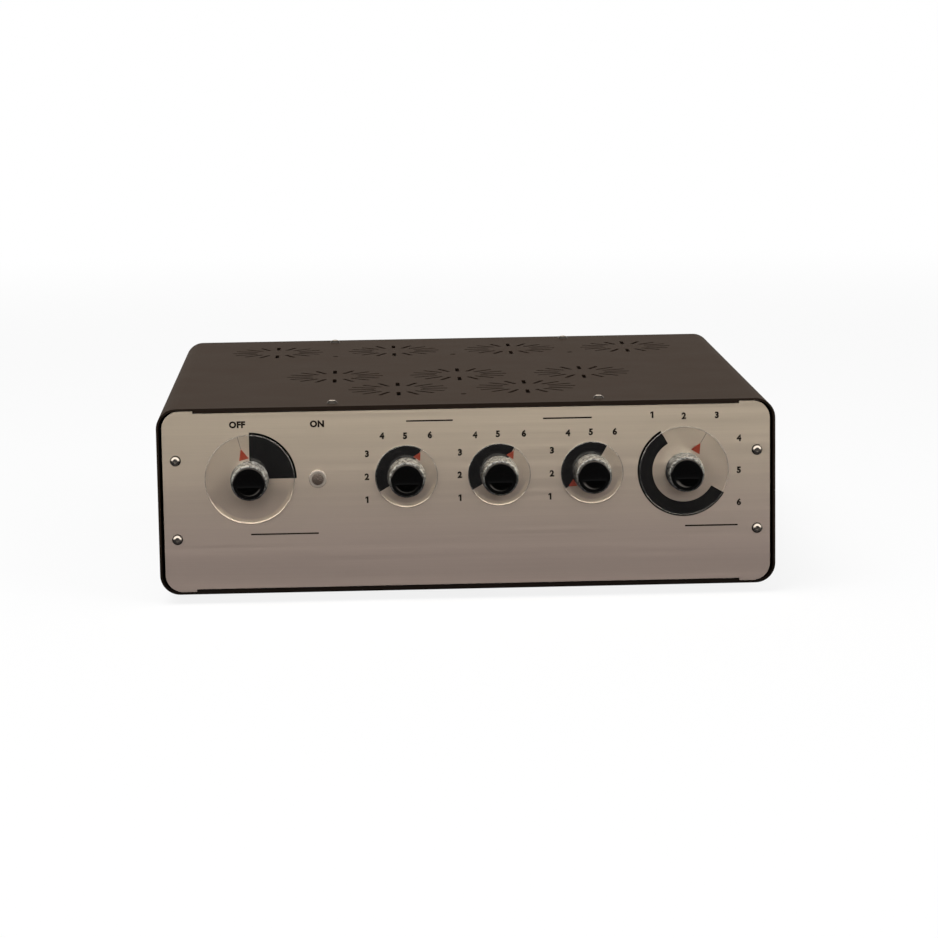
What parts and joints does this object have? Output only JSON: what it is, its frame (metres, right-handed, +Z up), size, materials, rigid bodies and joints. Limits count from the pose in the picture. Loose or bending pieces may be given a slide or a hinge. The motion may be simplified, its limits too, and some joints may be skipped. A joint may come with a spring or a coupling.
{
  "type": "phono preamp",
  "caption": "Full-width phono preamp in a flat metal case, with rotary controls over clear dials, a vented top cover and phono sockets at the rear.",
  "frame": {"origin": "middle of the outline from above, at the surface that the feet stand on", "axes": "+Z up, the front panel faces -Y, +X to the right seen from the front"},
  "size_m": [0.43, 0.4472, 0.1396],
  "materials": {
    "front_panel": "brushed, clear anodised",
    "rear_panel": "fine texture paint",
    "cover_paint": "fine texture paint",
    "frame_paint": "satin paint",
    "bar_aluminium": "as drawn",
    "deck_steel": "zinc plated",
    "screw_steel": "bright",
    "foot_rubber": "matt",
    "clear_collar": "clear, polished",
    "lamp_lens": "dark tinted lens",
    "knob_cap": "polished black",
    "knob_grip": "fine knurl, satin",
    "clear_dial": "clear, polished",
    "shaft_steel": "ground",
    "switch_metal": "nickel plated",
    "wafer_laminate": "paper laminate",
    "black_moulding": "moulded",
    "core_steel": "varnished laminations",
    "coil_tape": "polyester tape",
    "board_laminate": "solder mask",
    "capacitor_sleeve": "shrunk sleeve",
    "capacitor_case": "moulded case",
    "socket_ceramic": "glazed",
    "valve_glass": "clear",
    "electrode_metal": "carbonised",
    "gilt_brass": "gilt",
    "white_insulator": "moulded",
    "pin_nickel": "nickel plated",
    "fuse_glass": "bright caps on glass",
    "loom_sheath": "sheathed"
  },
  "bodies": {
    "case": {"front_panel": "front_panel", "rear_panel": "rear_panel", "top_cover": "cover_paint", "bottom_cover": "cover_paint", "left_frame": "frame_paint", "right_frame": "frame_paint", "cross_bars": "bar_aluminium", "chassis_deck": "deck_steel", "panel_screws": "screw_steel", "top_cover_screws": "screw_steel", "bottom_screws": "screw_steel", "chassis_screws": "screw_steel", "feet": "foot_rubber", "lamp_collar": "clear_collar", "pilot_lamp": "lamp_lens", "switch_frames": "switch_metal", "switch_nuts": "switch_metal", "switch_wafers": "wafer_laminate", "mains_switch": "black_moulding", "transformer_core": "core_steel", "transformer_coil": "coil_tape", "transformer_strap": "deck_steel", "circuit_boards": "board_laminate", "filter_capacitors": "capacitor_sleeve", "coupling_capacitors": "capacitor_case", "valve_sockets": "socket_ceramic", "valve_glass": "valve_glass", "valve_electrodes": "electrode_metal", "socket_shells": "gilt_brass", "socket_insulators": "white_insulator", "socket_contacts": "gilt_brass", "mains_inlet": "black_moulding", "inlet_pins": "pin_nickel", "ground_post": "pin_nickel", "mains_loom": "loom_sheath", "signal_loom": "loom_sheath"},
    "power_knob": {"power_knob_grip": "knob_grip", "power_knob_cap": "knob_cap", "power_knob_dial": "clear_dial", "power_knob_shaft": "shaft_steel"},
    "low_knob": {"low_knob_grip": "knob_grip", "low_knob_cap": "knob_cap", "low_knob_dial": "clear_dial", "low_knob_shaft": "shaft_steel"},
    "mid_knob": {"mid_knob_grip": "knob_grip", "mid_knob_cap": "knob_cap", "mid_knob_dial": "clear_dial", "mid_knob_shaft": "shaft_steel"},
    "high_knob": {"high_knob_grip": "knob_grip", "high_knob_cap": "knob_cap", "high_knob_dial": "clear_dial", "high_knob_shaft": "shaft_steel"},
    "source_knob": {"source_knob_grip": "knob_grip", "source_knob_cap": "knob_cap", "source_knob_dial": "clear_dial", "source_knob_shaft": "shaft_steel"},
    "fuse_holder": {"fuse_drawer": "black_moulding", "fuses": "fuse_glass"},
    "earth_washer": {"ground_washer": "pin_nickel"},
    "earth_nut": {"ground_nut": "pin_nickel"}
  },
  "joints": [
    {"name": "power_turn", "type": "hinge", "parent": "case", "child": "power_knob", "pos_m": [-0.151, -0.20135, 0.0876], "axis": [0, 1, 0], "range_deg": [0, 60]},
    {"name": "low_turn", "type": "hinge", "parent": "case", "child": "low_knob", "pos_m": [-0.0424, -0.20135, 0.0876], "axis": [0, 1, 0], "range_deg": [-150, 0]},
    {"name": "mid_turn", "type": "hinge", "parent": "case", "child": "mid_knob", "pos_m": [0.0222, -0.20135, 0.0876], "axis": [0, 1, 0], "range_deg": [-150, 0]},
    {"name": "high_turn", "type": "hinge", "parent": "case", "child": "high_knob", "pos_m": [0.0868, -0.20135, 0.0876], "axis": [0, 1, 0], "range_deg": [0, 150]},
    {"name": "source_turn", "type": "hinge", "parent": "case", "child": "source_knob", "pos_m": [0.151, -0.20135, 0.0876], "axis": [0, 1, 0], "range_deg": [-60, 90]},
    {"name": "fuse_slide", "type": "slide", "parent": "case", "child": "fuse_holder", "axis": [0, 1, 0], "range_m": [0, 0.02]},
    {"name": "earth_washer_slide", "type": "slide", "parent": "case", "child": "earth_washer", "axis": [0, 1, 0], "range_m": [0, 0.0028]},
    {"name": "earth_nut_turn", "type": "hinge", "parent": "earth_washer", "child": "earth_nut", "pos_m": [0.026, 0.21, 0.076], "axis": [0, 1, 0], "range_deg": [0, 1440]}
  ],
  "couplings": [
    {"joint": "earth_nut_turn", "follows": "earth_washer_slide", "rad_per_m": 8976}
  ]
}
